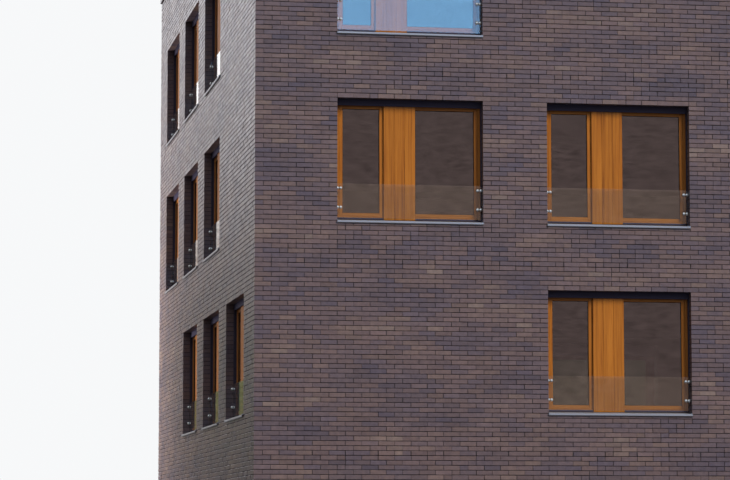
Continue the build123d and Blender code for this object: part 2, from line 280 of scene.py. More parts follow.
# %% A helper that adds and joins nodes
class Wiring:
    """Short words for the nodes that the finishes and the sky are made of."""

    def __init__(self, tree):
        self.nodes, self.links = tree.nodes, tree.links

    def add(self, kind, inputs=None, **settings):
        """Adds a node. An input is a number, a vector, a colour or another node's output."""
        node = self.nodes.new("ShaderNode" + kind)
        for key, value in settings.items():
            setattr(node, key, value)
        for key, value in (inputs or {}).items():
            if isinstance(value, bpy.types.NodeSocket):
                self.links.new(value, node.inputs[key])
            else:
                node.inputs[key].default_value = value
        return node

    def place(self, attribute=None):
        """The object's own metres, or the piece's attribute of that name."""
        if attribute is None:
            return self.add("TexCoord").outputs["Object"]
        return self.add("Attribute", attribute_name=attribute).outputs["Vector"]

    def parts(self, vector):
        """The three numbers of a vector."""
        return self.add("SeparateXYZ", {"Vector": vector}).outputs

    def noise(self, where, scale, detail=3.0, stretch=None):
        """Cloudy noise from 0 to 1. stretch makes it finer along single axes."""
        if stretch is not None:
            where = self.add("Mapping", {"Vector": where, "Scale": stretch}).outputs["Vector"]
        return self.add("TexNoise", {"Vector": where, "Scale": scale, "Detail": detail}).outputs["Fac"]

    def ramp(self, factor, *stops):
        """A colour that runs through (position, colour) stops. A single number is a grey."""
        node = self.add("ValToRGB", {"Fac": factor})
        elements = node.color_ramp.elements
        for _ in stops[2:]:
            elements.new(0.5)
        for element, (position, color) in zip(elements, stops):
            element.position = position
            element.color = (color, color, color, 1) if isinstance(color, float) else (*color, 1)
        return node.outputs["Color"]

    def mixed(self, factor, first, second, **settings):
        """Mixes two colours, which this node has at its inputs 6 and 7, and their mix at output 2."""
        inputs = {0: factor, 6: first, 7: second}
        return self.add("Mix", inputs, data_type="RGBA", **settings).outputs[2]

    def tinted(self, color, by, factor=1.0):
        """Multiplies one colour by another."""
        return self.mixed(factor, color, by, blend_type="MULTIPLY")

    def either(self, switch, off, on):
        """One shader where the switch is 0, and the other where it is 1."""
        return self.add("MixShader", {0: switch, 1: off, 2: on}).outputs["Shader"]

    def between(self, value, low, high, start=0.0, end=1.0):
        """A number that runs from low to high as the value runs from start to end."""
        limits = {"From Min": start, "From Max": end, "To Min": low, "To Max": high}
        return self.add("MapRange", {"Value": value, **limits}).outputs["Result"]


# %% A finish
class Finish(Wiring):
    """A Principled material. Settings that are the same all over are typed on its shader."""

    def __init__(self, name, **sockets):
        self.material = bpy.data.materials.new(name)
        self.material.use_nodes = True
        super().__init__(self.material.node_tree)
        self.shader = self.nodes["Principled BSDF"]
        for key, value in sockets.items():
            self.shader.inputs[key.replace("_", " ")].default_value = value

    # each of these joins an output to the shader, as its colour, its roughness or its relief
    def color(self, output):
        self.links.new(output, self.shader.inputs["Base Color"])

    def roughness(self, output):
        self.links.new(output, self.shader.inputs["Roughness"])

    def relief(self, height, strength, distance):
        node = self.add("Bump", {"Height": height, "Strength": strength, "Distance": distance})
        self.links.new(node.outputs["Normal"], self.shader.inputs["Normal"])


# %% [markdown]
# ## Brick
# These bricks are hard-fired clay, so dense that they shine a little at a grazing angle. Their
# colour runs from grey purple to warm brown, and no two are alike. One noise over the whole wall
# would run across the joints, so each brick brings its own tint and tone as numbers, and the nodes
# only add clouds and grit.

# %% Fired clay
brick = Finish("fired_clay", Specular_IOR_Level=0.42)
tint, tone, mark = brick.parts(brick.place("clay"))
clay = brick.ramp(
    tint,
    (0.00, (0.092, 0.072, 0.090)),
    (0.30, (0.112, 0.082, 0.090)),
    (0.60, (0.130, 0.089, 0.087)),
    (0.85, (0.148, 0.103, 0.092)),
    (1.00, (0.170, 0.125, 0.110)),
)
CLOUD_SCALE, GRIT_SCALE = 16.0, 240.0  # how fine each noise is, in one metre
clouds = brick.noise(brick.place(), CLOUD_SCALE, 3.0)
grit = brick.noise(brick.place(), GRIT_SCALE, 2.0)
clay = brick.tinted(clay, brick.ramp(tone, (0.0, 0.80), (1.0, 1.20)))
soft = brick.ramp(clouds, (0.30, (0.82, 0.82, 0.86)), (0.70, (1.14, 1.12, 1.08)))
fine = brick.ramp(grit, (0.35, (0.80, 0.80, 0.82)), (0.65, (1.16, 1.14, 1.12)))
brick.color(brick.tinted(brick.tinted(clay, soft, 0.8), fine, 0.7))
brick.roughness(brick.between(mark, 0.28, 0.36))
brick.relief(grit, 0.35, 0.0015)

# %% [markdown]
# ## Mortar, plaster, concrete and gravel
# These are mixed from grains. They differ in colour, in the size of their clouds, and in how deep
# the grains stand, so one function makes the first three. Gravel needs single stones. Real ones
# would be meshes in their tens of thousands on a roof seen from afar, so a Voronoi texture gives
# each stone its own cell, colour and rounded height.


# %% Mixed minerals
def mineral(name, dark, light, cloud_scale, grain_scale, depth, roughness=0.9, specular=0.3):
    """Colour from broad clouds, darkened by fine grains that also make the relief."""
    made = Finish(name, Roughness=roughness, Specular_IOR_Level=specular)
    fine = made.noise(made.place(), grain_scale, 3.0)
    broad = made.ramp(made.noise(made.place(), cloud_scale, 5.0), (0.3, dark), (0.7, light))
    made.color(made.tinted(broad, made.ramp(fine, (0.3, 0.82), (0.7, 1.08)), 0.7))
    made.relief(fine, 0.5, depth)
    return made.material


# %% Gravel
gravel = Finish("roof_gravel", Roughness=0.85)
stones = gravel.add("TexVoronoi", {"Vector": gravel.place(), "Scale": 26.0})
stone_tint = gravel.parts(stones.outputs["Color"])[0]
stone_color = gravel.ramp(
    stone_tint,
    (0.0, (0.15, 0.14, 0.13)),
    (0.4, (0.28, 0.26, 0.23)),
    (0.8, (0.39, 0.36, 0.31)),
    (1.0, (0.50, 0.49, 0.47)),
)
hollow = gravel.ramp(stones.outputs["Distance"], (0.0, 1.10), (0.8, 0.30))
gravel.color(gravel.tinted(stone_color, hollow, 0.85))
gravel.relief(hollow, 0.9, 0.02)

# %% [markdown]
# ## Oiled timber
# The windows are of a warm softwood under an orange-brown oil stain. A Wave texture could draw its
# year rings, but too evenly. A noise stretched far along the board looks more like grown ones, and
# a much finer one like its pores. Both read the board's own grain direction, so the figure turns at
# every corner joint.


# %% Timber
def timber(name, across):
    """Rings: a noise that is 40 times longer along the grain than across it, where across says how
    fine it is. Pores: the same, 7 times finer across. Broad bands make one side of a board darker.
    """
    made = Finish(name, Specular_IOR_Level=0.28)
    where = made.place("grain")
    rings = made.noise(where, 1.0, 6.0, (across / 40, across, across))
    broad = made.noise(where, 1.0, 3.0, (0.3, 7.0, 7.0))
    pores = made.noise(where, 1.0, 2.0, (across / 6, across * 7, across * 7))
    stain = made.ramp(
        rings,
        (0.26, (0.215, 0.066, 0.009)),
        (0.42, (0.350, 0.118, 0.015)),
        (0.62, (0.430, 0.158, 0.022)),
        (0.82, (0.335, 0.110, 0.014)),
    )
    bands = made.ramp(broad, (0.3, (0.80, 0.75, 0.70)), (0.7, (1.10, 1.08, 1.04)))
    open_pores = made.ramp(pores, (0.38, (0.66, 0.58, 0.52)), (0.52, 1.0))
    made.color(made.tinted(made.tinted(stain, bands, 0.8), open_pores, 0.32))
    made.roughness(made.between(rings, 0.46, 0.62))
    made.relief(pores, 0.25, 0.0008)
    return made.material


# %% [markdown]
# ## Metals, rubber and glass
# Folded sheets and turned steel show fine lines from the mill. The shader's own anisotropy only
# stretches highlights, and a soft sky gives few, so the lines are a noise stretched along one axis.
# Glass by itself casts a full shadow, because a ray that bends in it misses the lamps. So it bends
# and mirrors what the eye sees, but lets the lamps straight through to the timber behind it.


# %% Metal and rubber
def metal(name, color, roughness, metallic, stretch, change=0.10, specular=0.5):
    """Milled lines: a noise stretched along one axis varies both the colour and the roughness."""
    made = Finish(name, Metallic=metallic, Specular_IOR_Level=specular)
    lines = made.noise(made.place(), 1.0, 3.0, stretch)
    low, high = tuple(c * (1 - change) for c in color), tuple(c * (1 + change) for c in color)
    made.color(made.ramp(lines, (0.35, low), (0.65, high)))
    made.roughness(made.between(lines, roughness * 0.8, roughness * 1.2))
    made.relief(lines, 0.08, 0.0005)
    return made.material


# %% Glass
def glass(name, tint, index):
    """A Principled glass for the eye, mixed with a clear shader for the rays that cast shadows."""
    made = Finish(name, Base_Color=(*tint, 1), Transmission_Weight=1.0, IOR=index)
    made.roughness(made.between(made.noise(made.place(), 2.5, 4.0), 0.0, 0.03))
    solid = made.shader.outputs["BSDF"]
    clear = made.add("BsdfTransparent", {"Color": (*tint, 1)}).outputs["BSDF"]
    shadow_ray = made.add("LightPath").outputs["Is Shadow Ray"]
    both = made.either(shadow_ray, solid, clear)
    made.links.new(both, made.nodes["Material Output"].inputs["Surface"])
    return made.material


# %% Every finish of the villa
# A mineral: dark and light colour, how fine its clouds and grains are, how deep a grain is,
# roughness, shine. A metal: colour, roughness, how metallic it is, how fine its lines are along
# x, y and z.
FINISHES = {
    "brick": brick.material,
    "mortar": mineral(
        "grey_mortar", (0.034, 0.030, 0.033), (0.060, 0.054, 0.057), 9.0, 400.0, 0.002, 1.0, 0.0
    ),
    "masonry": mineral("lime_plaster", (0.50, 0.49, 0.46), (0.60, 0.59, 0.56), 1.5, 300.0, 0.001),
    "concrete": mineral("concrete", (0.28, 0.27, 0.26), (0.40, 0.39, 0.37), 2.5, 160.0, 0.002, 0.8),
    "gravel": gravel.material,
    "wood": timber("oiled_members", 60.0),
    "panel": timber("oiled_boards", 34.0),
    "dark_metal": metal("shutter_coating", (0.058, 0.050, 0.082), 0.65, 0.0, (3, 3, 60), specular=0.08),
    "steel": metal("painted_steel", (0.020, 0.016, 0.016), 0.6, 0.3, (6, 6, 6)),
    "aluminium": metal("anodised_aluminium", (0.43, 0.415, 0.43), 0.42, 0.7, (2, 2, 160)),
    "stainless": metal("turned_stainless", (0.74, 0.71, 0.66), 0.34, 0.8, (90, 90, 400)),
    "rubber": metal("seal_rubber", (0.012, 0.012, 0.012), 0.7, 0.0, (30, 30, 30), specular=0.3),
    "glass": glass("window_glass", (0.34, 0.34, 0.33), 2.1),
    "balustrade": glass("balustrade_glass", (0.90, 0.92, 0.84), 1.75),
}

# %% The CAD nodes take the finish of their slot
for part in frame["record"]["subparts"]:
    key = {"brick": "mortar"}.get(part["material_slot"], part["material_slot"])
    if part["node"] == "glass_balustrades":
        key = "balustrade"
    node_mesh = frame["nodes"][part["node"]].data
    node_mesh.materials.clear()
    node_mesh.materials.append(FINISHES[key])
print("finishes", len(FINISHES), "on nodes", len(frame["nodes"]))

# %% [markdown]
# ## Brickwork
# The outer leaf is laid in a wild bond: mostly whole bricks, now and then a half, and no cross
# joint straight above another where that can be helped. Corner bricks turn the corner, one course
# along one facade and the next along the other. A texture could only paint this, and its joints
# would look flat at a grazing angle. So every brick is laid by a bricklayer's rule, and the CAD
# leaf behind them shows as the mortar.


# %% Laying one stretch of a course
WHOLE_BRICK, JOINT_ABOVE, SECOND_HALF = 0.55, 1.1, 0.8  # bonus or fine, beside a chance of 0 to 1


def lay(start, end, below, fixed):
    """Joints from start to end, in half bricks, each chosen a brick or half a brick further on.

    Score = chance + a bonus for a whole brick - a fine for a joint straight above one of the
    course below - a fine for a second half brick in a row. fixed holds the joints that this course
    must have.
    """
    joints, at = [start], start
    while at < end:
        scores = {}
        for length in (1, 2):
            stop = at + length
            if stop > end or any(at < joint < stop for joint in fixed):
                continue
            above = stop in below and stop != end
            scores[length] = rng.uniform(0, 1) + WHOLE_BRICK * (length == 2) - JOINT_ABOVE * above
            if length == 1 and len(joints) > 1 and joints[-1] - joints[-2] == 1:
                scores[length] -= SECOND_HALF
        at += max(scores, key=scores.get)
        joints.append(at)
    return joints


# %% Where a course meets the openings
def holes_in(word, level):
    """The stretches of half bricks that this course leaves out for openings."""
    # the course at which each opening starts: in a plain wall none does below the heads
    feet = {"W": SILL_COURSE, "E": DOOR_COURSE, ".": HEAD_COURSE}
    firsts = [
        CORNER + column * (WINDOW + PIER)
        for column, mark in enumerate(word) if feet[mark] <= level < HEAD_COURSE
    ]
    return [(first, first + WINDOW) for first in firsts]


def joints_of_course(stretches, below, fixed, turns):
    """The joints of each stretch. Where the course turns the corner, a whole brick stands there."""
    rows = []
    for start, end in stretches:
        at_start, at_end = turns and start == 0, turns and end == WIDTH
        inner = lay(start + 2 * at_start, end - 2 * at_end, below, fixed)
        rows.append([start] * at_start + inner + [end] * at_end)
    return rows


# %% All bricks of a facade
SLOT_STEP, SLOT_FREE = 4, 3  # half bricks from slot to slot, and without a slot beside a corner


def bricks_of(facade):
    """Rows of (first, last, course, flags) for every brick, and (joint, course) for every weep slot.

    The flags say: beside an opening on its left, on its right, at the facade's left corner, at its
    right corner, over an opening, beside a weep slot on its left, on its right.
    """
    bricks, weeps, below = [], [], set()
    for course in range(COURSES):
        storey = min(course // STOREY, STOREYS - 1)
        level, word = course - storey * STOREY, ELEVATIONS[facade][storey]
        holes = holes_in(word, level)
        turns = (course % 2 == 0) == (facade in ("front", "rear"))
        begin, finish = (0, WIDTH) if turns else (1, WIDTH - 1)
        ends = [begin] + [end for hole in holes for end in hole] + [finish]
        # a support angle carries the wall at each floor, and there some cross joints stay open
        slots = range(2 + (storey + 1) % 2, WIDTH, SLOT_STEP)
        fixed = set(slots) if level == SHELF_COURSE else set()
        rows = joints_of_course(zip(ends[::2], ends[1::2]), below, fixed, turns)
        heads = holes_in(word, level - 1) if level == HEAD_COURSE else []
        for row in rows:
            for a, b in zip(row[:-1], row[1:]):
                beside = (a == row[0] and a > 1, b == row[-1] and b < WIDTH - 1)
                corner = (turns and a == 0, turns and b == WIDTH)
                over = any(low < b and a < high for low, high in heads)
                bricks.append((a, b, course, *beside, *corner, over, a in fixed, b in fixed))
        weeps += [(joint, course) for joint in fixed if SLOT_FREE < joint < WIDTH - SLOT_FREE]
        below = {joint for row in rows for joint in row}
    return np.array(bricks), np.array(weeps)


# %% From half bricks to real bricks
BED_GAP = 0.0080  # how much of a bed joint shows, in metres
CROSS_GAP_LOW, CROSS_GAP_HIGH = 0.002, 0.014  # the same for a cross joint
PROUD_LOW, PROUD_HIGH = 0.0075, 0.0120  # how far the bricks stand before the mortar
UNEVEN = 0.0014  # how far a brick may lie above or below its course
WEEP_MARGIN = 0.003  # how much wider than its cross joint a weep slot is, on each side
LINING = 0.004  # how far the bricks round an opening stand into it, to hide the mortar's edge
FACE_BACK, REVEAL_BACK, CORNER_BACK = -0.012, -0.118, -0.1215  # how deep each kind of brick is


def brick_spans(bricks):
    """Facade coordinates: each brick = its place in the module + its own small inaccuracy.

    The cross joints are tight, and some are wide, because the bricks differ in length.
    """
    first, last, course = bricks[:, 0], bricks[:, 1], bricks[:, 2]
    left, right, west, east, over, slot_left, slot_right = bricks[:, 3:].T.astype(bool)
    count = len(bricks)
    proud = rng.uniform(PROUD_LOW, PROUD_HIGH, count)
    vary = rng.uniform(-UNEVEN, UNEVEN, (2, count))
    reach = (CROSS_JOINT - rng.uniform(CROSS_GAP_LOW, CROSS_GAP_HIGH, (2, count))) / 2
    start, end = first * HALF_BRICK, last * HALF_BRICK - CROSS_JOINT
    along0 = np.where(left, start - LINING, start - np.where(slot_left, -WEEP_MARGIN, reach[0]))
    along1 = np.where(right, end + LINING, end + np.where(slot_right, -WEEP_MARGIN, reach[1]))
    along0, along1 = np.where(west, -proud, along0), np.where(east, SIDE + proud, along1)
    slack = (BED_GAP - BED_JOINT) / 2
    z0 = course * COURSE + BED_JOINT + slack + vary[0] - LINING * over
    z1 = (course + 1) * COURSE - slack + vary[1]
    back = np.where(west | east, CORNER_BACK, np.where(left | right | over, REVEAL_BACK, FACE_BACK))
    return np.stack([along0, along1, back, proud, z0, z1], axis=1)


# %% [markdown]
# ## The single brick
# Bricks of one pack lay side by side in the kiln, so a wall changes its shade in slow patches, on
# top of the chance of each brick. Pure chance would look like confetti, and a noise texture would
# cut bricks in two, so each brick gets two numbers of its own. Its upper and lower edge are worn,
# which makes the bed joints read wider. A bevel would cut all twelve edges, so each brick is a
# prism of a section with two worn corners.

# %% The shade of each brick
WAVES, SHORTEST, LONGEST = 6, 0.9, 3.6  # how many slow waves of shade, and their lengths in metres
FLATNESS = 1.8  # how much wider than high a patch of one shade is
TINT_SHAPE, TONE_SHAPE = (3.4, 4.2), (4.0, 4.0)  # two humps from 0 to 1, the first a little low
TINT_PACK, TONE_PACK = 0.46, 0.28  # how much of each the pack decides


def pack_shade(along, level):
    """The slow change of shade: the mean of some cosine waves that run in all directions.

    Wave = cos(2 pi * (along * cos turn + flatness * level * sin turn) / length + start).
    """
    turn, start = rng.uniform(0, 2 * np.pi, (2, WAVES, 1))
    length = rng.uniform(SHORTEST, LONGEST, (WAVES, 1))
    way = along * np.cos(turn) + FLATNESS * level * np.sin(turn)
    return np.cos(2 * np.pi * way / length + start).mean(axis=0)


def shades_of(bricks):
    """Rows of (tint from purple to brown, tone from dark to light, a free number)."""
    count = len(bricks)
    pack = pack_shade(bricks[:, 0] * HALF_BRICK, bricks[:, 2] * COURSE)
    tint = np.clip(rng.beta(*TINT_SHAPE, count) + TINT_PACK * pack, 0, 1)
    tone = np.clip(rng.beta(*TONE_SHAPE, count) + TONE_PACK * pack, 0, 1)
    return np.stack([tint, tone, rng.uniform(0, 1, count)], axis=1)


# %% The shape of one brick
WORN = 0.004  # how far the upper and lower edge of a brick's face are worn away
# the six corners of its section, as (out, level) from low to high, and how far each moves in
SECTION = np.array([[0, 0], [1, 0], [1, 0], [1, 1], [1, 1], [0, 1]])
SECTION_WORN = WORN * np.array([[0, 0], [-1, 0], [0, 1], [0, -1], [-1, 0], [0, 0]])
SQUARE = np.array([[0, 0], [1, 0], [1, 1], [0, 1]])  # the section of a weep slot

# %% Laying all four facades
SLOT_SIDE, SLOT_FOOT = 0.010, 0.006  # half a weep slot's width, and its foot above the course
SLOT_BACK, SLOT_FRONT = -0.010, 0.001

for facade in FACADES:
    bricks, weeps = bricks_of(facade)
    spans = brick_spans(bricks)
    lay_prisms(f"{facade}_bricks", facade, spans, SECTION, SECTION_WORN, "brick", shades_of(bricks))
    middle, foot = weeps[:, 0] * HALF_BRICK - CROSS_JOINT / 2, weeps[:, 1] * COURSE
    depth = (np.full(len(weeps), SLOT_BACK), np.full(len(weeps), SLOT_FRONT))
    slots = [middle - SLOT_SIDE, middle + SLOT_SIDE, *depth, foot + SLOT_FOOT, foot + COURSE]
    lay_prisms(f"{facade}_weep_slots", facade, np.stack(slots, axis=1), SQUARE, 0, "rubber")
    print(facade, "bricks", len(bricks), "weep slots", len(weeps))

# %% [markdown]
# ## Windows
# Each window has a frame with a boarded panel between a wide and a narrow light. The CAD model has
# them as single solids. A bevel could ease their edges, but the grain would run straight through
# every corner. So each stile and rail is a board of its own, and the grain turns where the joiner's
# does. A rubber seal lies round each pane, the panel is three boards with open joints, the end bar
# of the rolled shutter shows below its box, and each guide has a dark slot.

# %% The fine measures of a window
CASEMENT_GAP = 0.0015  # open all round a casement
SEAL_WIDTH, SEAL_LIFT, SEAL_SETBACK = 0.007, 0.0005, 0.012  # it lies before the pane, in the casement
BOARD_COUNT, BOARD_GAP = 3, 0.001  # half an open joint
BAR_INSET = 0.018  # from the end bar of a shutter to the side of the opening
BAR_OUT = (-LEAF - 0.018, -LEAF - 0.006)
BAR_LOW, BAR_HIGH = 0.012, 0.004  # from the foot of the box down and up
SLOT_SKIN, SLOT_ENDS = 0.0006, 0.010  # how far a guide's slot stands proud, and stops short
SLOT_OUT = (-LEAF - GUIDE_DEPTH * 0.62, -LEAF - GUIDE_DEPTH * 0.38)


# %% Timber members, seals and boards
def put_ring(pile, facade, along, out, level, width):
    """A frame of four members: two uprights of full height with two rails between them."""
    (a0, a1), (z0, z1), rail = along, level, drawn_in(along, width)
    pile.put(facade, (a0, a0 + width), out, level)
    pile.put(facade, (a1 - width, a1), out, level)
    pile.put(facade, rail, out, (z0, z0 + width), upright=False)
    pile.put(facade, rail, out, (z1 - width, z1), upright=False)


frames, casements, boards, seals, end_bars, guide_slots = (Pile() for _ in range(6))
for facade, storey, left, sill in windows:
    right, box_foot = left + OPENING_WIDTH, sill + OPENING_HEIGHT - BOX_DROP
    frame_left, frame_right, frame_top = left - FRAME_LAP, right + FRAME_LAP, box_foot + BOX_APRON
    panel_left = left + PANEL_OFFSETS[storey]
    panel_right = panel_left + PANEL_WIDTH
    out = (-FRAME_FRONT - FRAME_DEPTH, -FRAME_FRONT)
    lights = (
        (frame_left + FRAME_JAMB, panel_left - PANEL_EDGE),
        (panel_right - PANEL_COVER, frame_right - FRAME_JAMB),
    )
    low, high = sill + FRAME_SILL, box_foot
    for ends in ((frame_left, lights[0][0]), (lights[0][1], lights[1][0]), (lights[1][1], frame_right)):
        frames.put(facade, ends, out, (sill, frame_top))
    for light in lights:
        frames.put(facade, light, out, (sill, low), upright=False)
        frames.put(facade, light, out, (high, frame_top), upright=False)
        face = -FRAME_FRONT - CASEMENT_SETBACK
        width, height = drawn_in(light, CASEMENT_GAP), drawn_in((low, high), CASEMENT_GAP)
        put_ring(casements, facade, width, (face - CASEMENT_DEPTH, face), height, CASEMENT_FACE)
        depth = (face - PANE_SETBACK + SEAL_LIFT, face - SEAL_SETBACK)
        width, height = drawn_in(width, CASEMENT_FACE), drawn_in(height, CASEMENT_FACE)
        put_ring(seals, facade, width, depth, height, SEAL_WIDTH)
    depth, clear = (-FRAME_FRONT, -FRAME_FRONT + PANEL_THICKNESS), (sill + SILL_RISE, box_foot)
    for board in np.arange(BOARD_COUNT) * PANEL_WIDTH / BOARD_COUNT + panel_left:
        width = drawn_in((board, board + PANEL_WIDTH / BOARD_COUNT), BOARD_GAP)
        boards.put(facade, width, depth, drawn_in(clear, PANEL_FOOT))
    levels = (box_foot - BAR_LOW, box_foot + BAR_HIGH)
    end_bars.put(facade, drawn_in((left, right), BAR_INSET), BAR_OUT, levels, upright=False)
    for edge in drawn_in((left, right), GUIDE_REVEAL):
        width = drawn_in((edge, edge), -SLOT_SKIN)
        guide_slots.put(facade, width, SLOT_OUT, drawn_in(clear, SLOT_ENDS))

# %% The pieces of all windows
timber_frames = frames.make("timber_frames", "wood", ease=0.003, grain=True)
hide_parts(*[f"{facade}_window_frames" for facade in FACADES])
timber_casements = casements.make("timber_casements", "wood", ease=0.004, grain=True)
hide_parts("window_casements")
timber_panels = boards.make("timber_panels", "panel", ease=0.0018, grain=True)
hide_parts("window_panels")
seals.make("pane_seals", "rubber", ease=0.001)
end_bars.make("shutter_end_bars", "dark_metal", ease=0.002)
guide_slots.make("shutter_guide_slots", "rubber", ease=0.0002)

# %% [markdown]
# ## Folded sheets
# The dark bars of painted shade at the foot of the frames, the sills and the parapet's coping are sheets
# folded along their whole length.
# A Blender curve can carry an outline too, but it cuts both ends square. So the outline is carried
# along the wall by arithmetic, and where two lengths meet at a corner, its end leans by 45 degrees,
# as a metalworker cuts a mitre.


# %% An outline carried along a wall
def carried(name, lengths, outline, finish):
    """One mesh of sheets: the outline at the start of each length, and again at its end.

    lengths holds rows of (facade, along0, along1, level, lean0, lean1), and the outline runs
    anticlockwise through (out, height) points. An end that leans by 1 is a mitre: along0 -
    out * lean0 at the start, and along1 + out * lean1 at the end.
    """
    out, rise = np.array(outline).T
    points = []
    for facade, along0, along1, level, lean0, lean1 in lengths:
        along = np.concatenate([along0 - out * lean0, along1 + out * lean1])
        points.append(on_facade(facade, along, np.tile(out, 2), level + np.tile(rise, 2)))
    print(name, len(lengths))
    return make_piece(name, np.concatenate(points), prism_faces(len(out), len(lengths)), finish)


# %% Dark bars of painted shade at the foot of the frames, the sills, and the caps that close their ends
BAR_GAP = 0.001  # open at both ends of a dark bar of painted shade
CAP_NEAR, CAP_FAR = 0.0045, 0.0075  # from the side of the opening to the two faces of a cap
CAP_FRONT, CAP_TOP, CAP_FOOT = 0.011, 0.007, -0.012  # how far a cap stands over the sill, and under
SHEET_FRONT, SHEET_TOP = 0.003, 0.004  # thickness of the sill's sheet
DRIP, LIP = 0.0275, 0.038  # from the sill's nose down to the bend of its front, and to its hem
HEM = ((0.0125, 0.002), (0.0105, 0.000))  # inner and outer edge of the hem: (back, above the lip)
painted_shade_bars, sills, sill_caps = [], [], []
for facade, storey, left, sill in windows:
    panel_left, right = left + PANEL_OFFSETS[storey], left + OPENING_WIDTH
    panel_right = panel_left + PANEL_WIDTH
    for ends in ((left + GUIDE_REVEAL, panel_left), (panel_right, right - GUIDE_REVEAL)):
        painted_shade_bars.append((facade, *drawn_in(ends, BAR_GAP), sill, 0, 0))
    sills.append((facade, left, right, sill, 0, 0))
    for ends in ((left + CAP_NEAR, left + CAP_FAR), (right - CAP_FAR, right - CAP_NEAR)):
        sill_caps.append((facade, *ends, sill, 0, 0))
# a dark bar stands before the foot of each frame, where that foot lies in shade: it is painted shade
shade_bar_outline = np.array([(0.000, 0.044), (0.018, 0.042), (0.021, 0.044), (0.021, 0.056), (0.000, 0.076)])
carried("painted_shade_bars", painted_shade_bars, shade_bar_outline - (FRAME_FRONT, 0), "dark_metal")
nose = SILL_RISE - SILL_FALL
bend, lip = nose - DRIP, nose - LIP
fold = [
    (SILL_OUT - SHEET_FRONT, nose - SHEET_TOP), (SILL_OUT - SHEET_FRONT, bend + 0.001),
    *((SILL_OUT - back, lip + rise) for back, rise in HEM), (SILL_OUT, bend),
]
sill_outline = [
    (SILL_OUT, nose), (-FRAME_FRONT, SILL_RISE), (-FRAME_FRONT, 0), (0, 0), (0, nose - SHEET_TOP), *fold,
]
cap_outline = [
    (SILL_OUT, nose + CAP_FRONT), (-LEAF, SILL_RISE + CAP_TOP), (-LEAF, SILL_RISE + CAP_FOOT), *fold,
]
folded_sills = carried("folded_sills", sills, sill_outline, "aluminium")
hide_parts("window_sills")
carried("sill_end_caps", sill_caps, cap_outline, "aluminium")

# %% The coping of the parapet, in lengths with an open joint over a strap
TOP_OF_BRICK = COURSES * COURSE
OVERHANG, SKIRT, THICK, SHEET, FALL = 0.035, 0.050, 0.030, 0.004, 0.006
LENGTHS, OPEN_JOINT, STRAP, STRAP_INSET = 6, 0.004, 0.120, 0.0015


def coping_outline(inset):
    """A cap with a skirt on both sides, falling to the roof, drawn in by the inset."""
    front, back = OVERHANG - inset, -WALL - OVERHANG + inset
    inner_front, inner_back = front - SHEET + inset, back + SHEET - inset
    return [
        (front, -SKIRT), (front, THICK - inset), (back, THICK - FALL - inset), (back, -SKIRT),
        (inner_back, -SKIRT), (inner_back, 0.0), (inner_front, 0.0), (inner_front, -SKIRT),
    ]


copings, straps = [], []
cuts = np.linspace(0, SIDE, LENGTHS + 1)
for facade in FACADES:
    for n, (start, end) in enumerate(zip(cuts[:-1], cuts[1:])):
        first, last = int(n == 0), int(n == LENGTHS - 1)
        ends = start + OPEN_JOINT / 2 * (1 - first), end - OPEN_JOINT / 2 * (1 - last)
        copings.append((facade, *ends, TOP_OF_BRICK, first, last))
        if not last:
            straps.append((facade, *drawn_in((end, end), -STRAP / 2), TOP_OF_BRICK, 0, 0))
coping_lengths = carried("coping_lengths", copings, coping_outline(0.0), "aluminium")
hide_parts("parapet_coping")
carried("coping_straps", straps, coping_outline(STRAP_INSET), "dark_metal")

# %% [markdown]
# ## Turned clamps
# Four clamps hold each glass balustrade, each a flat steel body behind two domed buttons. Buttons
# are turned on a lathe. A bevelled cylinder comes near one, but a profile gives each radius of the
# dome. It is taken round an axis, and both its ends close in a single pole.


# %% Anything turned on a lathe
def turned(name, centres, axes, profile, finish, steps=20):
    """Point = centre + x * axis + r * (cos t * across + sin t * up), and one pole at each end.

    The profile runs through (x, r), from the back to the front. The axes are level.
    """
    centres, axes = np.array(centres), np.array(axes, float)
    across = np.column_stack([-axes[:, 1], axes[:, 0], 0 * axes[:, 0]])
    t = np.linspace(0, 2 * np.pi, steps, endpoint=False)
    (back, _), *rings, (front, _) = profile
    x, r = np.array(rings).T
    circle = np.cos(t)[:, None] * across[:, None] + np.sin(t)[:, None] * np.array([0, 0, 1.0])
    middle = centres[:, None, None] + x[:, None, None] * axes[:, None, None]
    body = middle + r[:, None, None] * circle[:, None]
    poles = centres[:, None] + np.array([[back], [front]]) * axes[:, None]
    points = np.concatenate([body.reshape(len(centres), -1, 3), poles], axis=1)
    grid = np.arange(len(x) * steps).reshape(len(x), steps)
    beside = np.roll(grid, -1, axis=1)
    quads = np.stack([grid[:-1], beside[:-1], beside[1:], grid[1:]], axis=-1).reshape(-1, 4)
    pole = np.full(steps, grid.size)
    fans = [np.stack([pole, beside[0], grid[0]], 1), np.stack([pole + 1, grid[-1], beside[-1]], 1)]
    tris = np.concatenate(fans)
    step = points.shape[1] * np.arange(len(centres))[:, None, None]
    faces = [(quads + step).reshape(-1, 4), (tris + step).reshape(-1, 3)]
    print(name, len(centres))
    return make_piece(name, points.reshape(-1, 3), faces, finish, smooth=True)


# %% Clamps
BUTTON = [(-0.004, 0), (-0.004, 0.023), (0.006, 0.0255), (0.012, 0.0250), (0.018, 0.0210),
          (0.022, 0.0145), (0.0245, 0.0070), (0.025, 0)]
BUTTON_BASE, BUTTON_INSETS = 0.006, (0.022, CLAMP_LENGTH - 0.024)
CLAMP_START = 0.0045  # from the side of the opening
